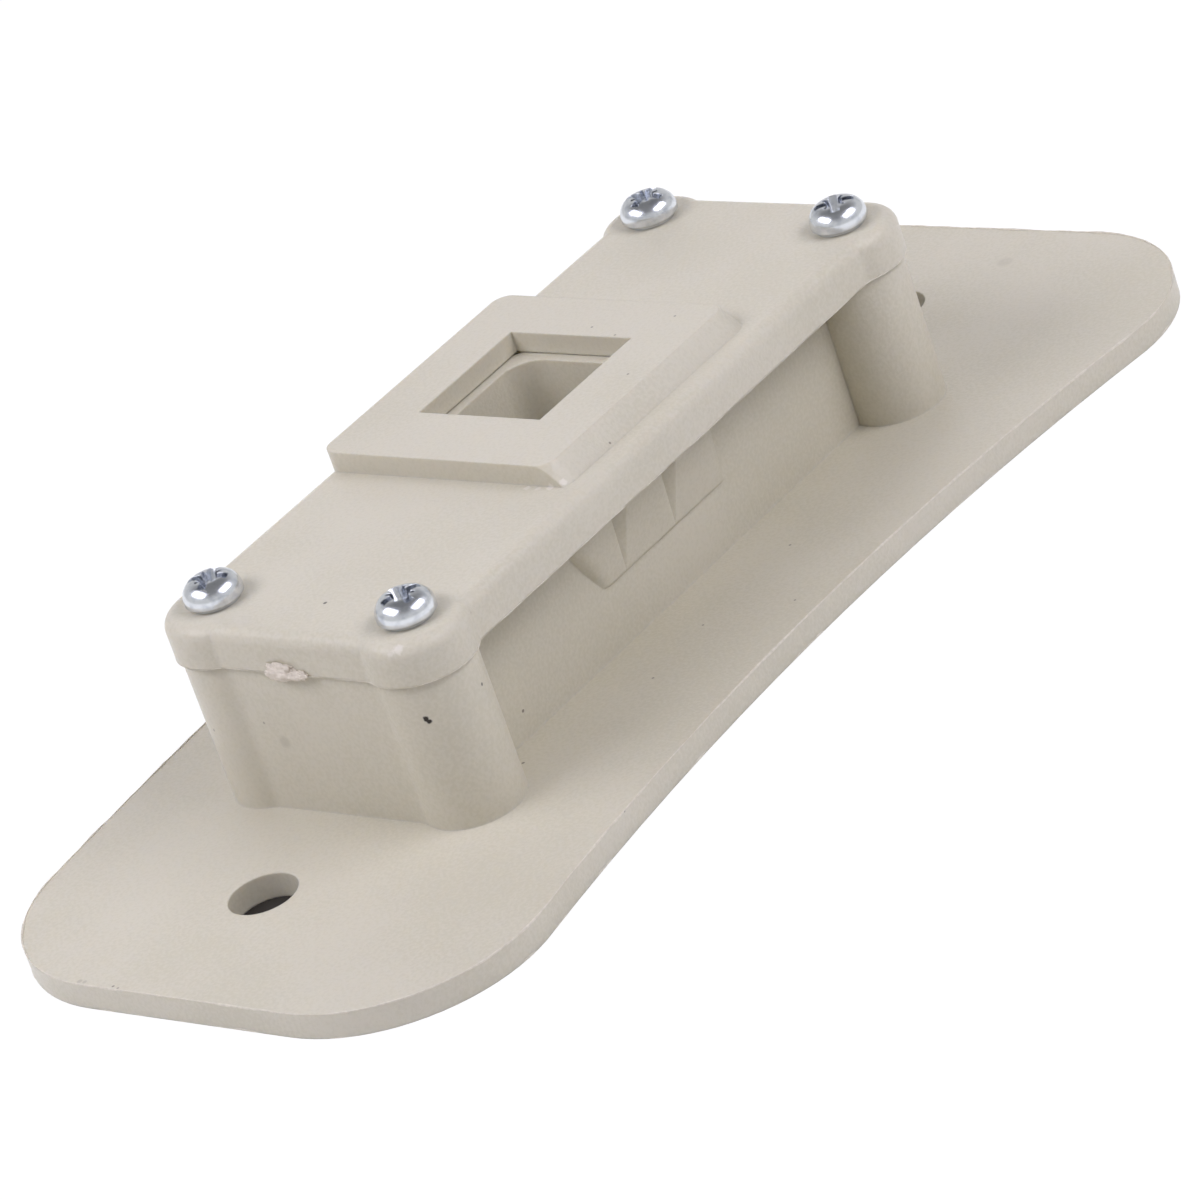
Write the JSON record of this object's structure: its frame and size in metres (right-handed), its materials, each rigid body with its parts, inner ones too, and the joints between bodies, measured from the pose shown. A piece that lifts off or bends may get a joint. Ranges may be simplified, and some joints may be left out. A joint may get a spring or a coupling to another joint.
{
  "type": "dryer door catch",
  "caption": "Flange-mounted dryer door catch: putty-coloured plastic housing with a screwed cover over a square striker well with sprung roller jaws.",
  "frame": {"origin": "midway between the four cover screws, on the underside of the mounting plate (the face that shows on the door's side), which is also midway between the two mounting holes along the plate", "axes": "+Y along the plate towards its far end, +Z from the plate towards the cover, +X to the waisted edge"},
  "size_m": [0.0583, 0.1338, 0.0242],
  "materials": {
    "housing_plastic": "satin moulded putty",
    "cover_plastic": "satin moulded putty",
    "screw_zinc": "bright zinc plate",
    "jaw_plastic": "natural, smooth",
    "roller_plastic": "turned, smooth",
    "pin_steel": "ground",
    "spring_steel": "drawn wire"
  },
  "bodies": {
    "housing": {"base": "housing_plastic", "cover": "cover_plastic", "screw_near_left": "screw_zinc", "screw_near_right": "screw_zinc", "screw_far_left": "screw_zinc", "screw_far_right": "screw_zinc", "spring_near": "spring_steel", "spring_far": "spring_steel"},
    "near_jaw": {"jaw_near": "jaw_plastic", "pin_near": "pin_steel"},
    "far_jaw": {"jaw_far": "jaw_plastic", "pin_far": "pin_steel"},
    "near_roller": {"roller_near": "roller_plastic"},
    "far_roller": {"roller_far": "roller_plastic"}
  },
  "joints": [
    {"name": "near_jaw_slide", "type": "slide", "parent": "housing", "child": "near_jaw", "axis": [0, -1, 0], "range_m": [0, 0.0032], "stiffness_N_per_m": 2000, "springref_m": -0.003, "deforming": ["spring_near"]},
    {"name": "far_jaw_slide", "type": "slide", "parent": "housing", "child": "far_jaw", "axis": [0, 1, 0], "range_m": [0, 0.0032], "stiffness_N_per_m": 2000, "springref_m": -0.003, "deforming": ["spring_far"]},
    {"name": "near_roller_turn", "type": "hinge", "parent": "near_jaw", "child": "near_roller", "pos_m": [-0.00215, -0.0033, 0.0072], "axis": [1, 0, 0], "continuous": true},
    {"name": "far_roller_turn", "type": "hinge", "parent": "far_jaw", "child": "far_roller", "pos_m": [-0.00215, 0.0077, 0.0072], "axis": [1, 0, 0], "continuous": true}
  ]
}
